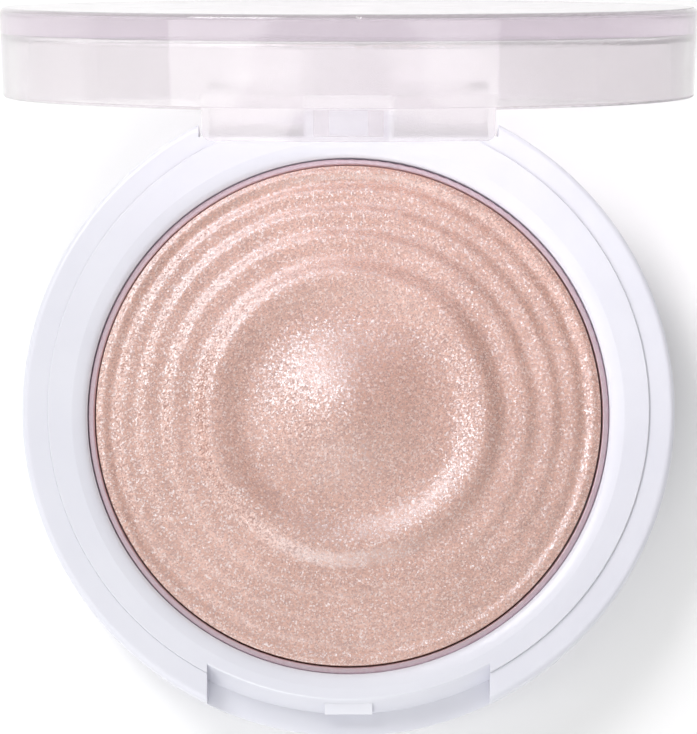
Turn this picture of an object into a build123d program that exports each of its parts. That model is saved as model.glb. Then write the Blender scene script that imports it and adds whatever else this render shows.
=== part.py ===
from build123d import *
import os

# Powder compact: a white two-piece base, a pan of baked powder with concentric ripples, and a
# clear hinged lid. Millimetres, +Z up. The origin is the centre of the underside, +Y points to
# the hinge and -Y to the catch. The lid is modelled standing open.

# ---- Driving dimensions ----
base_radius = 36.0
rim_height = 9.9  # top of the outer rim, where the closed lid rests
rim_inner_radius = 33.2
wall_radius = 34.1  # inside of the base wall, below the rim
foot_radius = 32.0
side_curve_height = 5.8  # the side is upright above this height and curves in below it
floor_thickness = 1.6
shoulder_height = 9.1  # ledge under the rim that carries the inner frame
shoulder_radius = 31.9
shoulder_depth = 1.2
shoulder_taper = 3.0  # the shoulder runs out into the wall this far below its top
rim_fillet = 0.7
foot_fillet = 0.4
support_outer = 19.2  # ring on the floor that carries the well
support_inner = 18.0

deck_height = 10.15
deck_edge = 30.6  # the deck falls to the well from this radius
slope_lead = 0.03  # the slope's curve ends this far above the deck, so that it meets it cleanly
frame_clearance = 0.02
well_radius = 28.8
well_shift = -0.65  # the well sits a little nearer the catch than the rim does
well_top = 9.4
well_floor = 5.6
well_wall = 1.1
well_base = 1.0
well_fillet = 0.6
push_hole_radius = 5.0  # a spent pan is pushed out through it
deck_chamfer = 0.1

notch_width = 30.9
notch_floor = 6.6
notch_top_radius = 32.3
notch_foot_radius = 33.6
notch_wall = 1.1
notch_ledge = 1.4  # thickness under the notch's floor
block_margin = 1.5  # the solid blocks reach this far past the notch and the recess
block_bite = 0.5  # and this far into the wall
catch_width = 5.2
catch_radius = 33.75
catch_foot = 7.0
catch_lead = 7.2
catch_bottom = 7.8
catch_top = 8.4
catch_bite = 0.3

hinge_y = 32.2
hinge_height = 4.7
knuckle_radius = 1.6
knuckle_width = 10.0
recess_width = 33.4
recess_front = 30.35
recess_floor = 2.6
recess_wall = 0.9
knuckle_bite = 0.3
pin_radius = 0.75
pin_length = 32.0
pin_chamfer = 0.15
running_clearance = 0.04
press_interference = 0.01

lid_radius = 36.45  # at the top plate
lid_rim_radius = 36.1
lid_inner_radius = 34.5
lid_gap = 0.1  # between the closed lid and the rim
lid_depth = 9.3
lid_plate = 2.6
lid_draft = 0.1
lid_top_fillet = 0.6
lid_corner_fillet = 0.8
lid_rim_fillet = 0.3
lid_open_angle = 75
lug_inner = 5.15  # each lug runs from here to lug_outer, either side of the knuckle
lug_outer = 16.3
lug_front = 30.75
lug_top = 11.8
lug_chamfer = 0.6
lug_inset = 0.2
tab_width = 28.7
tab_length = 3.0
tab_inner_radius = 33.95
tab_bite = 1.5
tab_fillet = 1.0
window_width = 6.7
window_depth = 1.2
window_bead = 0.5

pan_radius = 28.74
pan_inner_radius = 28.02
pan_thickness = 0.4
pan_rim_height = 9.05
pan_rim_depth = 0.5
pan_rim_fillet = 0.2
adhesive_thickness = 0.3
adhesive_circle = 14.0  # the pads' centres lie on a circle of this radius
adhesive_pad_radius = 4.0
adhesive_pads = 4
powder_radius = 27.85
powder_edge = 9.3
dome_height = 12.7

label_radius = 23.7
label_thickness = 0.15
label_clearance = 0.2

overrun = 1.0  # cutters reach this far past what they cut

# ---- Places worked out from them ----
well_plane = Plane((0, well_shift, 0))
well_axis = Axis((0, well_shift, 0), (0, 0, 1))
well_section = Plane((0, well_shift, 0), x_dir=(1, 0, 0), z_dir=(0, -1, 0))
pan_underside = well_floor + adhesive_thickness
lid_rim = rim_height + lid_gap
lid_top = lid_rim + lid_depth

# The lid's own frame is the base's frame turned about the hinge by the open angle
to_hinge = Location((0, hinge_y, hinge_height))
lid_plane = Plane(to_hinge * Location((0, 0, 0), (-lid_open_angle, 0, 0)) * to_hinge.inverse())
lid_section = Plane(lid_plane.origin, x_dir=lid_plane.x_dir, z_dir=-lid_plane.y_dir)


def side_plane(frame, x):
    """A plane across the frame's X axis at x: its own x is the frame's Y and its y the frame's Z."""
    return Plane(frame.from_local_coords(Vector(x, 0, 0)), x_dir=frame.y_dir, z_dir=frame.x_dir)


def at_tab_corner(edge):
    """Whether an edge of the lid is one of the two at the ends of its tab's tip."""
    place = lid_plane.to_local_coords(edge.center())
    off_side = abs(abs(place.X) - tab_width / 2)
    off_tip = abs(place.Z - lid_rim + tab_length)
    return off_side < 0.1 and off_tip < 0.1


# ---- Cutters that two pieces share ----
# Front notch: a sloping wall behind the lid's tab, with a ledge at its foot
with BuildPart() as notch:
    with BuildSketch(Plane.XZ):
        with BuildLine():
            Polyline(
                (notch_foot_radius, notch_floor),
                (base_radius + overrun, notch_floor),
                (base_radius + overrun, deck_height + overrun),
                (notch_top_radius, deck_height + overrun),
                (notch_top_radius, deck_height),
                close=True,
            )
        make_face()
    revolve(axis=Axis.Z)
    with Locations((0, -base_radius, notch_floor)):
        Box(notch_width, base_radius, 2 * base_radius, mode=Mode.INTERSECT)

# Hinge recess: open above and behind
with BuildPart() as recess:
    with Locations((0, recess_front, recess_floor)):
        Box(recess_width, base_radius, base_radius, align=(Align.CENTER, Align.MIN, Align.MIN))

# ---- Outer base ----
with BuildPart() as base_shell:
    with BuildSketch(Plane.XZ):
        with BuildLine():
            TangentArc((base_radius, side_curve_height), (foot_radius, 0), tangent=(0, -1))
            Polyline(
                (foot_radius, 0),
                (0, 0),
                (0, floor_thickness),
                (wall_radius, floor_thickness),
                (wall_radius, shoulder_height - shoulder_taper),
                (shoulder_radius, shoulder_height - shoulder_depth),
                (shoulder_radius, shoulder_height),
                (rim_inner_radius, shoulder_height),
                (rim_inner_radius, rim_height),
                (base_radius, rim_height),
                (base_radius, side_curve_height),
            )
        make_face()
    revolve(axis=Axis.Z)
    rim_edges = edges().filter_by(GeomType.CIRCLE).group_by(Axis.Z)[-1]
    fillet(rim_edges.sort_by(SortBy.RADIUS)[-1], radius=rim_fillet)
    foot_edges = edges().filter_by(GeomType.CIRCLE).group_by(Axis.Z)[0]
    fillet(foot_edges, radius=foot_fillet)
    # Ring on the floor that carries the frame's well
    with BuildSketch(Plane.XY.offset(floor_thickness)):
        Circle(support_outer)
        Circle(support_inner, mode=Mode.SUBTRACT)
    extrude(amount=well_floor - well_base - floor_thickness)
    # Solid backing behind the notch and in front of the hinge recess
    with BuildSketch(Plane.XY.offset(notch_floor - notch_ledge)):
        Circle(wall_radius + block_bite)
        Circle(notch_top_radius - notch_wall, mode=Mode.SUBTRACT)
        with Locations((0, -base_radius)):
            Rectangle(notch_width + 2 * block_margin, base_radius, mode=Mode.INTERSECT)
    extrude(amount=shoulder_height - notch_floor + notch_ledge)
    with BuildSketch(Plane.XY.offset(floor_thickness / 2)):
        Circle(wall_radius + block_bite)
        with Locations((0, recess_front - recess_wall)):
            Rectangle(
                recess_width + 2 * block_margin,
                base_radius,
                align=(Align.CENTER, Align.MIN),
                mode=Mode.INTERSECT,
            )
    extrude(amount=shoulder_height - floor_thickness / 2)
    add(notch.part, mode=Mode.SUBTRACT)
    add(recess.part, mode=Mode.SUBTRACT)
    # Catch: a small wedge on the notch's wall
    with BuildSketch(side_plane(Plane.XY, -catch_width / 2)):
        with BuildLine():
            Polyline(
                (-notch_top_radius + catch_bite, catch_foot),
                (-notch_foot_radius, catch_lead),
                (-catch_radius, catch_bottom),
                (-catch_radius, catch_top),
                (-notch_top_radius - catch_bite, shoulder_height),
                (-notch_top_radius + catch_bite, shoulder_height),
                close=True,
            )
        make_face()
    extrude(amount=catch_width)
    # Knuckle between the lid's lugs, standing on the recess's floor
    with BuildSketch(side_plane(Plane.XY, -knuckle_width / 2)):
        with Locations((hinge_y, hinge_height)):
            Circle(knuckle_radius)
        with BuildLine():
            Polyline(
                (recess_front - knuckle_bite, recess_floor - knuckle_bite),
                (hinge_y + knuckle_radius, recess_floor - knuckle_bite),
                (hinge_y + knuckle_radius, hinge_height),
                (hinge_y, hinge_height + knuckle_radius),
                (recess_front - knuckle_bite, hinge_height + knuckle_radius),
                close=True,
            )
        make_face()
    extrude(amount=knuckle_width)
    with BuildSketch(side_plane(Plane.XY, -knuckle_width / 2)):
        with Locations((hinge_y, hinge_height)):
            Circle(pin_radius - press_interference)
    extrude(amount=knuckle_width, mode=Mode.SUBTRACT)
    # Shallow pocket for the label
    with BuildSketch(Plane.XY):
        Circle(label_radius + label_clearance)
    extrude(amount=label_thickness, mode=Mode.SUBTRACT)
base_shell.part.label = "base_shell"

# ---- Inner frame: the deck round the powder, with the well below it ----
with BuildPart() as inner_frame:
    with BuildSketch(Plane.XY.offset(shoulder_height)):
        Circle(rim_inner_radius - frame_clearance)
    extrude(amount=deck_height - shoulder_height)
    with BuildSketch(well_plane.offset(well_floor - well_base)):
        Circle(well_radius + well_wall)
    extrude(amount=shoulder_height - well_floor + well_base)
    fillet(edges().group_by(Axis.Z)[0], radius=well_fillet)
    # The well, and the curved slope from the deck down to its mouth
    with BuildSketch(well_section):
        with BuildLine():
            Polyline(
                (deck_edge, deck_height + slope_lead),
                (deck_edge, deck_height + overrun),
                (0, deck_height + overrun),
                (0, well_floor),
                (well_radius, well_floor),
                (well_radius, well_top),
            )
            Spline(
                (well_radius, well_top),
                (deck_edge, deck_height + slope_lead),
                tangents=((0.5, 1), (1, 0.2)),
            )
        make_face()
    revolve(axis=well_axis, mode=Mode.SUBTRACT)
    # Hole through which a spent pan is pushed out
    with BuildSketch(well_plane.offset(well_floor - well_base - overrun)):
        Circle(push_hole_radius)
    extrude(amount=well_base + 2 * overrun, mode=Mode.SUBTRACT)
    add(notch.part, mode=Mode.SUBTRACT)
    add(recess.part, mode=Mode.SUBTRACT)
    # Soften the deck's outer edge
    deck_edges = edges().filter_by(GeomType.CIRCLE).group_by(Axis.Z)[-1]
    chamfer(deck_edges.filter_by(lambda edge: edge.radius > deck_edge + overrun), length=deck_chamfer)
inner_frame.part.label = "inner_frame"

# ---- Pan: pressed aluminium tray with a rolled rim ----
with BuildPart() as pan:
    with BuildSketch(well_section):
        with BuildLine():
            Polyline(
                (0, pan_underside),
                (pan_inner_radius + pan_thickness, pan_underside),
                (pan_inner_radius + pan_thickness, pan_rim_height - pan_rim_depth),
                (pan_radius, pan_rim_height - pan_rim_depth),
                (pan_radius, pan_rim_height),
                (pan_inner_radius, pan_rim_height),
                (pan_inner_radius, pan_underside + pan_thickness),
                (0, pan_underside + pan_thickness),
                close=True,
            )
        make_face()
    revolve(axis=well_axis)
    fillet(edges().filter_by(GeomType.CIRCLE).group_by(Axis.Z)[-1], radius=pan_rim_fillet)
pan.part.label = "pan"

# ---- Glue pads between the well's floor and the pan ----
with BuildPart() as pan_adhesive:
    with BuildSketch(well_plane.offset(well_floor)):
        with PolarLocations(adhesive_circle, adhesive_pads, start_angle=45):
            Circle(adhesive_pad_radius)
    extrude(amount=adhesive_thickness)
pan_adhesive.part.label = "pan_adhesive"

# ---- Powder cake: a dome with ripples that weaken outwards ----
# Each pair is a ripple's radius and its height above the pan's rim: valley, crest, valley, ...
ripples = (
    (11.4, 1.35),
    (15.2, 2.15),
    (17.7, 1.15),
    (19.5, 1.35),
    (21.0, 0.80),
    (22.5, 0.95),
    (23.8, 0.48),
    (25.0, 0.58),
    (26.2, 0.18),
    (27.2, 0.45),
)
with BuildPart() as powder_cake:
    with BuildSketch(well_section):
        with BuildLine():
            Spline(
                (0, dome_height),
                *[(radius, pan_rim_height + rise) for radius, rise in ripples],
                (powder_radius, powder_edge),
                tangents=((1, 0), (0.6, -1)),
            )
            Polyline(
                (powder_radius, powder_edge),
                (powder_radius, pan_underside + pan_thickness),
                (0, pan_underside + pan_thickness),
                (0, dome_height),
            )
        make_face()
    revolve(axis=well_axis)
powder_cake.part.label = "powder_cake"

# ---- Hinge pin, pressed into the knuckle ----
with BuildPart() as hinge_pin:
    with BuildSketch(side_plane(Plane.XY, -pin_length / 2)):
        with Locations((hinge_y, hinge_height)):
            Circle(pin_radius)
    extrude(amount=pin_length)
    chamfer(edges().filter_by(GeomType.CIRCLE), length=pin_chamfer)
hinge_pin.part.label = "hinge_pin"

# ---- Lid: one clear moulding with its tab and its two hinge lugs ----
with BuildPart() as lid:
    with BuildSketch(lid_section):
        with BuildLine():
            Polyline(
                (0, lid_top),
                (lid_radius, lid_top),
                (lid_rim_radius, lid_rim),
                (lid_inner_radius, lid_rim),
                (lid_inner_radius - lid_draft, lid_top - lid_plate),
                (0, lid_top - lid_plate),
                close=True,
            )
        make_face()
        inner_corner = (lid_inner_radius - lid_draft, lid_top - lid_plate)
        corners = {
            (lid_radius, lid_top): lid_top_fillet,
            inner_corner: lid_corner_fillet,
            (lid_rim_radius, lid_rim): lid_rim_fillet,
            (lid_inner_radius, lid_rim): lid_rim_fillet,
        }
        for corner, radius in corners.items():
            fillet(vertices().sort_by_distance(corner)[0], radius=radius)
    revolve(axis=Axis(lid_plane.origin, lid_plane.z_dir))
    # Front tab, which closes into the base's notch
    with BuildSketch(lid_plane.offset(lid_rim - tab_length)):
        Circle(lid_rim_radius)
        Circle(tab_inner_radius, mode=Mode.SUBTRACT)
        with Locations((0, -lid_rim_radius)):
            Rectangle(tab_width, lid_rim_radius, mode=Mode.INTERSECT)
    extrude(amount=tab_length + tab_bite)
    fillet(edges().filter_by(at_tab_corner), radius=tab_fillet)
    # Window in the tab: room for the catch, with a bead across its tip
    with BuildSketch(lid_plane.offset(lid_rim - tab_length + window_bead)):
        with Locations((0, -lid_inner_radius)):
            Rectangle(window_width, window_depth)
    extrude(amount=tab_length - window_bead, mode=Mode.SUBTRACT)
    # Hinge lugs, with a gusset that ties them into the skirt
    for side in (-1, 1):
        lug_middle = side * (lug_inner + lug_outer) / 2
        with BuildSketch(lid_plane.offset(lid_rim)):
            Circle(lid_rim_radius - lug_inset)
            with Locations((lug_middle, lug_front)):
                Rectangle(
                    lug_outer - lug_inner,
                    lid_radius,
                    align=(Align.CENTER, Align.MIN),
                    mode=Mode.INTERSECT,
                )
        extrude(amount=lug_top - lid_rim)
        with BuildSketch(side_plane(lid_plane, lug_middle)):
            with Locations((hinge_y, hinge_height)):
                Circle(knuckle_radius)
            with BuildLine():
                Polyline(
                    (lug_front, hinge_height),
                    (hinge_y + knuckle_radius, hinge_height),
                    (hinge_y + knuckle_radius, lug_top - lug_chamfer),
                    (hinge_y + knuckle_radius - lug_chamfer, lug_top),
                    (lug_front, lug_top),
                    close=True,
                )
            make_face()
        extrude(amount=(lug_outer - lug_inner) / 2, both=True)
    with BuildSketch(side_plane(lid_plane, -lug_outer)):
        with Locations((hinge_y, hinge_height)):
            Circle(pin_radius + running_clearance)
    extrude(amount=2 * lug_outer, mode=Mode.SUBTRACT)
lid.part.label = "lid"

# ---- Blank label under the base ----
with BuildPart() as underside_label:
    with BuildSketch(Plane.XY):
        Circle(label_radius)
    extrude(amount=label_thickness)
underside_label.part.label = "underside_label"

# ---- One STEP file for each piece ----
os.makedirs("parts", exist_ok=True)
for piece in (
    base_shell,
    inner_frame,
    pan,
    pan_adhesive,
    powder_cake,
    hinge_pin,
    lid,
    underside_label,
):
    export_step(piece.part, f"parts/{piece.part.label}.step")
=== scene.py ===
import math

import bmesh
import bpy
from mathutils import Matrix, Vector, noise as field


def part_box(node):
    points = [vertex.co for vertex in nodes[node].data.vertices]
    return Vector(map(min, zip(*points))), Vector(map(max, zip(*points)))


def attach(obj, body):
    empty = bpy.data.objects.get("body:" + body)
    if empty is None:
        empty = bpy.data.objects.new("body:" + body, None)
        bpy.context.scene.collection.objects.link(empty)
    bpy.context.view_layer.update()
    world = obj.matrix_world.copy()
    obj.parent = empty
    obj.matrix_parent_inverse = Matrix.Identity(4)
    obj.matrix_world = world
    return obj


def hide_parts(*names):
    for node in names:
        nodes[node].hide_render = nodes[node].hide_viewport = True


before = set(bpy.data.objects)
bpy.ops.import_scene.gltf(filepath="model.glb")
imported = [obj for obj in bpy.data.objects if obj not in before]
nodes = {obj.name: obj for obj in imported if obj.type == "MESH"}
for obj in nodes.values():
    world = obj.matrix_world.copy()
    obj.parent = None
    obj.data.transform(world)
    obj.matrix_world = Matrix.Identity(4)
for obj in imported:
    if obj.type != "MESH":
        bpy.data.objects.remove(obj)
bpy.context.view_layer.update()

MM = 0.001

# ---------------------------------------------------------------- small helpers for materials
# The parts of a noise's range that its values mostly fall in: most of it, and its middle
BROAD = (0.3, 0.7)
MIDDLE = (0.35, 0.65)
# A Mix node's colour sockets, whose names its other kinds share
MIX_FACTOR, MIX_A, MIX_B, MIX_RESULT = 0, 6, 7, 2


def adjust(node, **values):
    """Sets a node's properties and inputs by name; a name's underscores are spaces."""
    for name, value in values.items():
        if hasattr(node, name):
            setattr(node, name, value)
        else:
            node.inputs[name.replace("_", " ")].default_value = value


def place(tree, kind, **values):
    """Adds a node and sets its properties and inputs by name."""
    node = tree.nodes.new(kind)
    adjust(node, **values)
    return node


def new_material(name):
    """A new material, with its node tree and its Principled shader."""
    material = bpy.data.materials.new(name)
    material.use_nodes = True
    return material, material.node_tree, material.node_tree.nodes["Principled BSDF"]


def object_space(tree):
    """Object coordinates in millimetres."""
    where = place(tree, "ShaderNodeTexCoord")
    sized = place(tree, "ShaderNodeVectorMath", operation="SCALE", Scale=1 / MM)
    tree.links.new(where.outputs["Object"], sized.inputs[0])
    return sized.outputs[0]


def noise(tree, coordinates, scale, detail=3.0, roughness=0.5):
    """A noise value whose features are 1 / scale millimetres across."""
    node = place(tree, "ShaderNodeTexNoise", Scale=scale, Detail=detail, Roughness=roughness)
    tree.links.new(coordinates, node.inputs["Vector"])
    return node.outputs["Fac"]


def ramp(tree, value, span, colour_low, colour_high):
    """A colour that goes from one to the other as value crosses span."""
    node = tree.nodes.new("ShaderNodeValToRGB")
    for stop, position, colour in zip(node.color_ramp.elements, span, (colour_low, colour_high)):
        stop.position = position
        stop.color = (*colour, 1)
    tree.links.new(value, node.inputs["Fac"])
    return node.outputs["Color"]


def tint(shader, value, span, colour_low, colour_high):
    """Varies the shader's base colour between two colours as value crosses span."""
    tree = shader.id_data
    tree.links.new(ramp(tree, value, span, colour_low, colour_high), shader.inputs["Base Color"])


def wear(shader, value, low, high):
    """Varies the shader's roughness from low to high with a noise's value."""
    tree = shader.id_data
    stretch = place(tree, "ShaderNodeMapRange", From_Min=BROAD[0], From_Max=BROAD[1],
                    To_Min=low, To_Max=high)
    tree.links.new(value, stretch.inputs["Value"])
    tree.links.new(stretch.outputs["Result"], shader.inputs["Roughness"])


def bump(shader, height, distance, strength):
    """Feeds a height to the shader's normal; distance is in millimetres."""
    tree = shader.id_data
    node = place(tree, "ShaderNodeBump", Strength=strength, Distance=distance * MM)
    tree.links.new(height, node.inputs["Height"])
    tree.links.new(node.outputs["Normal"], shader.inputs["Normal"])


# ---------------------------------------------------------------- materials
def white_plastic():
    """Glossy injection-moulded plastic, white with a hint of lavender."""
    material, tree, shader = new_material("white_plastic")
    space = object_space(tree)
    mottle = noise(tree, space, 0.12)
    tint(shader, mottle, MIDDLE, (0.725, 0.728, 0.790), (0.745, 0.748, 0.805))
    smear = noise(tree, space, 0.6, 5.0, 0.6)
    wear(shader, smear, 0.29, 0.34)
    orange_peel = noise(tree, space, 1.4, 2.0)
    bump(shader, orange_peel, 0.02, 0.12)
    adjust(shader, IOR=1.5, Subsurface_Weight=0.15, Subsurface_Scale=1.0,
           Subsurface_Radius=(MM, MM, MM))
    return material


def clear_plastic():
    """Clear styrene with a trace of haze and faint flow ripples."""
    material, tree, shader = new_material("clear_plastic")
    space = object_space(tree)
    haze = noise(tree, space, 0.35, 4.0, 0.6)
    wear(shader, haze, 0.05, 0.10)
    flow = noise(tree, space, 0.10, 1.0)
    tint(shader, flow, MIDDLE, (0.865, 0.838, 0.855), (0.890, 0.866, 0.880))
    bump(shader, flow, 0.15, 0.25)
    adjust(shader, Transmission_Weight=0.78, IOR=1.46)
    output = tree.nodes["Material Output"]
    # A long way through the plastic, as along the plate, the light turns mauve
    depth = place(tree, "ShaderNodeVolumeAbsorption", Density=19.0, Color=(0.72, 0.64, 0.72, 1))
    tree.links.new(depth.outputs[0], output.inputs["Volume"])
    # Light passes on to what is behind, as it does through a real clear lid
    passing = place(tree, "ShaderNodeBsdfTransparent", Color=(0.94, 0.93, 0.94, 1))
    path = place(tree, "ShaderNodeLightPath")
    mix = place(tree, "ShaderNodeMixShader")
    for source, socket in zip((path.outputs["Is Shadow Ray"], shader.outputs[0],
                               passing.outputs[0]), mix.inputs):
        tree.links.new(source, socket)
    tree.links.new(mix.outputs[0], output.inputs["Surface"])
    return material


def pan_metal():
    """Pressed aluminium, warmed by powder dust."""
    material, tree, shader = new_material("pan_metal")
    space = object_space(tree)
    dust = noise(tree, space, 1.2, 4.0, 0.65)
    tint(shader, dust, BROAD, (0.74, 0.62, 0.68), (0.66, 0.50, 0.55))
    wear(shader, dust, 0.38, 0.50)
    grain = noise(tree, space, 6.0, 2.0)
    bump(shader, grain, 0.02, 0.3)
    adjust(shader, Metallic=1.0)
    return material


def steel():
    """Drawn steel wire, with fine lines round the pin."""
    material, tree, shader = new_material("pin_steel")
    stretched = place(tree, "ShaderNodeVectorMath", operation="MULTIPLY")
    stretched.inputs[1].default_value = (0.3, 6.0, 6.0)
    tree.links.new(object_space(tree), stretched.inputs[0])
    lines = noise(tree, stretched.outputs[0], 1.0, 4.0)
    tint(shader, lines, BROAD, (0.50, 0.50, 0.52), (0.68, 0.68, 0.70))
    wear(shader, lines, 0.22, 0.38)
    bump(shader, lines, 0.01, 0.3)
    adjust(shader, Metallic=1.0)
    return material


def glue():
    """Pressure-sensitive glue, cloudy and a little yellow."""
    material, tree, shader = new_material("glue")
    cloud = noise(tree, object_space(tree), 0.8)
    tint(shader, cloud, MIDDLE, (0.78, 0.75, 0.62), (0.88, 0.86, 0.76))
    wear(shader, cloud, 0.35, 0.55)
    bump(shader, cloud, 0.05, 0.4)
    return material


def label_paper():
    """Coated label stock with fine paper fibres; nothing is printed on it."""
    material, tree, shader = new_material("label_paper")
    fibres = noise(tree, object_space(tree), 2.5, 6.0, 0.7)
    tint(shader, fibres, BROAD, (0.80, 0.80, 0.79), (0.87, 0.87, 0.86))
    wear(shader, fibres, 0.45, 0.6)
    bump(shader, fibres, 0.02, 0.3)
    return material


def powder():
    """Baked shimmer powder: a pearly pink body with fine flakes, each facing its own way."""
    material, tree, shader = new_material("powder")
    space = object_space(tree)
    patches = noise(tree, space, 0.10)
    body = ramp(tree, patches, MIDDLE, (0.722, 0.366, 0.258), (0.812, 0.438, 0.325))
    flakes = place(tree, "ShaderNodeTexVoronoi", feature="F1", Scale=6.6, Randomness=1.0)
    tree.links.new(space, flakes.inputs["Vector"])
    split = place(tree, "ShaderNodeSeparateColor")
    tree.links.new(flakes.outputs["Color"], split.inputs["Color"])
    shade = ramp(tree, split.outputs["Red"], (0.05, 0.95), (0.54, 0.42, 0.38), (1, 1, 1))
    shaded = place(tree, "ShaderNodeMix", data_type="RGBA", blend_type="MULTIPLY")
    shaded.inputs[MIX_FACTOR].default_value = 0.95
    tree.links.new(body, shaded.inputs[MIX_A])
    tree.links.new(shade, shaded.inputs[MIX_B])
    # Painted glints: a few flakes are painted pale in the base colour, standing in for flakes
    # that catch the light
    painted_glint_mask = ramp(tree, split.outputs["Green"], (0.74, 0.94), (0, 0, 0), (0.55, 0.55, 0.55))
    painted_glints = place(tree, "ShaderNodeMix", data_type="RGBA")
    painted_glints.inputs[MIX_B].default_value = (0.98, 0.80, 0.75, 1)
    tree.links.new(painted_glint_mask, painted_glints.inputs[MIX_FACTOR])
    tree.links.new(shaded.outputs[MIX_RESULT], painted_glints.inputs[MIX_A])
    tree.links.new(painted_glints.outputs[MIX_RESULT], shader.inputs["Base Color"])
    # Each flake tilts the normal its own way
    centred = place(tree, "ShaderNodeVectorMath", operation="SUBTRACT")
    centred.inputs[1].default_value = (0.5, 0.5, 0.5)
    tree.links.new(flakes.outputs["Color"], centred.inputs[0])
    tilt = place(tree, "ShaderNodeVectorMath", operation="SCALE", Scale=0.36)
    tree.links.new(centred.outputs[0], tilt.inputs[0])
    facing = place(tree, "ShaderNodeNewGeometry")
    summed = place(tree, "ShaderNodeVectorMath", operation="ADD")
    tree.links.new(facing.outputs["Normal"], summed.inputs[0])
    tree.links.new(tilt.outputs[0], summed.inputs[1])
    unit = place(tree, "ShaderNodeVectorMath", operation="NORMALIZE")
    tree.links.new(summed.outputs[0], unit.inputs[0])
    tree.links.new(unit.outputs[0], shader.inputs["Normal"])
    wear(shader, patches, 0.42, 0.48)
    adjust(shader, IOR=2.9, Metallic=0.08, Specular_Tint=(0.66, 0.90, 1.0, 1))
    return material


def floor_paint():
    """Seamless pale studio paper."""
    material, tree, shader = new_material("floor_paint")
    cloud = noise(tree, object_space(tree), 0.01, 2.0)
    tint(shader, cloud, BROAD, (0.94, 0.94, 0.94), (0.965, 0.965, 0.965))
    adjust(shader, Roughness=0.9)
    return material


# ---------------------------------------------------------------- the CAD nodes that stay
EASED_ANGLE = math.radians(50)  # edges sharper than this are eased
EASED_WIDTH = 0.22 * MM


def dress(node, material):
    """Puts one material on a CAD node."""
    mesh = nodes[node].data
    mesh.materials.clear()
    mesh.materials.append(material)


def ease_edges(node):
    """Rounds a moulding's sharp edges a little."""
    eased = nodes[node].modifiers.new("eased_edges", "BEVEL")
    eased.limit_method = "ANGLE"
    eased.angle_limit = EASED_ANGLE
    eased.width = EASED_WIDTH
    eased.segments = 3


white = white_plastic()
for moulding in ("base_shell", "inner_frame"):
    dress(moulding, white)
    ease_edges(moulding)
dress("lid", clear_plastic())
dress("pan", pan_metal())
dress("hinge_pin", steel())
dress("pan_adhesive", glue())
dress("underside_label", label_paper())

# ---------------------------------------------------------------- powder cake
# Radius and height above the pan's rim, in millimetres: the dome's top, a valley, a crest, ...
RIPPLES = ((0, 3.65), (11.4, 1.30), (15.2, 2.10), (17.7, 1.15), (19.5, 1.35), (21.0, 0.80),
           (22.5, 0.95), (23.8, 0.48), (25.0, 0.58), (26.2, 0.10), (27.2, 0.55), (27.85, 0.30))
FADE_START = 17.7  # radius from which the ripples fade towards the catch
KEPT_AT_SIDES = 0.66  # how much of their height stays at the sides
KEPT_SWING = 0.30  # how much more stays by the hinge, and less by the catch
RINGS, SPOKES = 230, 640
# Sizes in millimetres: how far or high, and how wide the noise's features are
WANDER, WANDER_WIDTH = 0.3, 8
COARSE, COARSE_WIDTH = 0.024, 1.6
FINE, FINE_WIDTH = 0.020, 0.35


def ripple_height(r):
    """The powder's height above the pan's rim at radius r, both in millimetres."""
    for (r0, h0), (r1, h1) in zip(RIPPLES, RIPPLES[1:]):
        if r <= r1:
            t = (r - r0) / (r1 - r0)
            return h0 + (h1 - h0) * (1 - math.cos(math.pi * t)) / 2
    return RIPPLES[-1][1]


def cake_height(r, angle):
    """The powder's height at a radius and an angle: the outer ripples fade towards the catch."""
    height = ripple_height(r)
    if r < FADE_START:
        return height
    start, end = ripple_height(FADE_START), RIPPLES[-1][1]
    plain = start + (end - start) * (r - FADE_START) / (RIPPLES[-1][0] - FADE_START)
    kept = KEPT_AT_SIDES + KEPT_SWING * math.sin(angle)
    return plain + kept * (height - plain)


def grain(x, y, layer, width):
    """A noise from -1 to 1 over the powder; each layer has its own pattern."""
    return field.noise(Vector((x, y, layer)) / (width * MM))


def powder_mesh(name, node, rim_height):
    """A cake of powder as a polar grid, standing where the CAD node does."""
    low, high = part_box(node)
    centre = (low + high) / 2
    radius = (high.x - low.x) / 2
    mesh = bmesh.new()
    grid = []
    for i in range(1, RINGS + 1):
        r = radius * i / RINGS
        ring = []
        for j in range(SPOKES):
            angle = 2 * math.pi * j / SPOKES
            x, y = r * math.cos(angle), r * math.sin(angle)
            wander = WANDER * MM * grain(x, y, 0.02, WANDER_WIDTH)
            height = rim_height + cake_height((r + wander) / MM, angle) * MM
            rough = 0
            if i < RINGS:
                rough = (COARSE * grain(x, y, 0, COARSE_WIDTH)
                         + FINE * grain(x, y, 0.01, FINE_WIDTH))
            ring.append(mesh.verts.new((centre.x + x, centre.y + y, height + rough * MM)))
        grid.append(ring)
    peak = mesh.verts.new((centre.x, centre.y, rim_height + ripple_height(0) * MM))
    foot = [mesh.verts.new((v.co.x, v.co.y, low.z)) for v in grid[-1]]
    bottom = mesh.verts.new((centre.x, centre.y, low.z))
    for j in range(SPOKES):
        k = (j + 1) % SPOKES
        mesh.faces.new((peak, grid[0][j], grid[0][k]))
        mesh.faces.new((bottom, foot[k], foot[j]))
        mesh.faces.new((grid[-1][j], foot[j], foot[k], grid[-1][k]))
        for inner, outer in zip(grid, grid[1:]):
            mesh.faces.new((inner[j], outer[j], outer[k], inner[k]))
    data = bpy.data.meshes.new(name)
    mesh.to_mesh(data)
    mesh.free()
    data.shade_smooth()
    piece = bpy.data.objects.new(name, data)
    bpy.context.scene.collection.objects.link(piece)
    return piece


pan_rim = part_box("pan")[1].z
cake = powder_mesh("powder", "powder_cake", pan_rim)
cake.data.materials.append(powder())
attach(cake, "base")
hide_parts("powder_cake")

# ---------------------------------------------------------------- studio
FLOOR_SIZE = 6
FLOOR_DROP = 0.02 * MM  # keeps the floor's face off the underside

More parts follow.
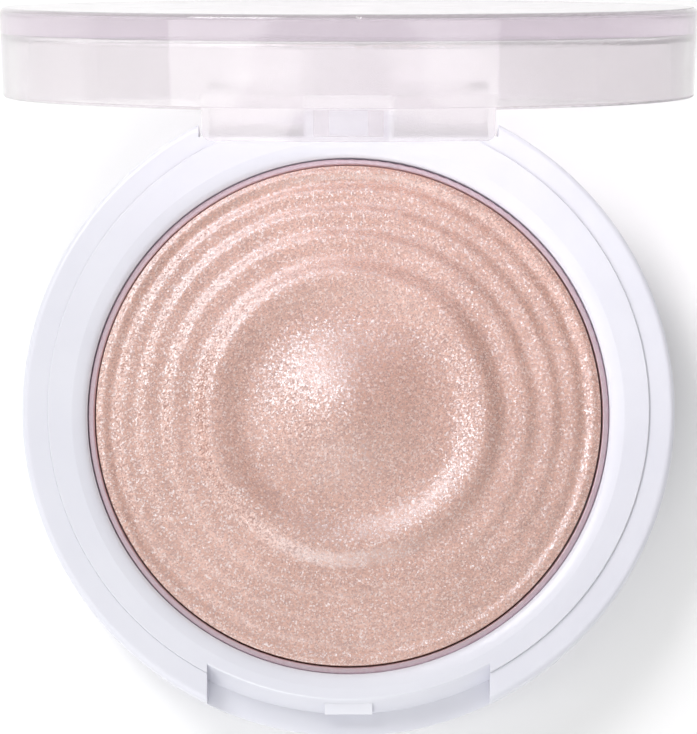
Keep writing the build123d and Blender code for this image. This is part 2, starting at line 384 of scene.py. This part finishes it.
COMPACT = (0, 0.005, 0.01)
LID_FRONT = (0, 0.020, 0.065)
# Name, place, what it faces, size across the view and away from it, power in watts
SOFTBOXES = (
    ("key", (-0.36, 0.42, 0.52), COMPACT, (0.31, 0.31), 2.7),
    ("front_fill", (-0.16, -0.56, 0.36), COMPACT, (0.50, 0.30), 2.1),
    ("left_strip", (-0.369, -0.124, 0.515), LID_FRONT, (0.50, 0.09), 0.40),
    ("right_strip", (0.318, -0.136, 0.551), LID_FRONT, (0.40, 0.09), 0.28),
)
ROOM_LIGHT = 0.43

CAMERA_TARGET = Vector((0, 0.0060, 0))
CAMERA_DISTANCE = 0.480
CAMERA_TILT = math.radians(8.95)  # off the vertical, towards the catch
CAMERA_LENS = 208.9
LIGHT_BOUNCES = 24  # enough for the lid's walls seen through each other


def add_floor():
    """A wide pale floor under the compact."""
    bpy.ops.mesh.primitive_plane_add(size=FLOOR_SIZE, location=(0, 0, -FLOOR_DROP))
    floor = bpy.context.object
    floor.name = "floor"
    floor.data.materials.append(floor_paint())


def add_softbox(name, place_at, aim, size, power):
    """A rectangular area light at place_at, facing aim."""
    light = bpy.data.lights.new(name, "AREA")
    light.shape = "RECTANGLE"
    light.size, light.size_y = size
    light.energy = power
    holder = bpy.data.objects.new(name, light)
    away = (Vector(place_at) - Vector(aim)).normalized()
    across = Vector((0, 1, 0)).cross(away).normalized()
    turned = Matrix((across, away.cross(across), away)).transposed()
    holder.matrix_world = Matrix.Translation(place_at) @ turned.to_4x4()
    bpy.context.scene.collection.objects.link(holder)


def add_camera():
    """The camera at the photograph's viewing angle."""
    camera = bpy.data.cameras.new("camera")
    camera.lens = CAMERA_LENS
    camera.sensor_width = 36
    camera.clip_start = 0.01
    holder = bpy.data.objects.new("camera", camera)
    back = Vector((0, -math.sin(CAMERA_TILT), math.cos(CAMERA_TILT)))
    holder.location = CAMERA_TARGET + back * CAMERA_DISTANCE
    holder.rotation_euler = (CAMERA_TILT, 0, 0)
    bpy.context.scene.collection.objects.link(holder)
    bpy.context.scene.camera = holder


add_floor()
for softbox in SOFTBOXES:
    add_softbox(*softbox)
add_camera()

scene = bpy.context.scene
scene.world = bpy.data.worlds.new("studio")
scene.world.use_nodes = True
adjust(scene.world.node_tree.nodes["Background"], Color=(1, 1, 1, 1), Strength=ROOM_LIGHT)
scene.view_settings.view_transform = "Standard"
scene.cycles.max_bounces = LIGHT_BOUNCES
scene.cycles.transmission_bounces = LIGHT_BOUNCES
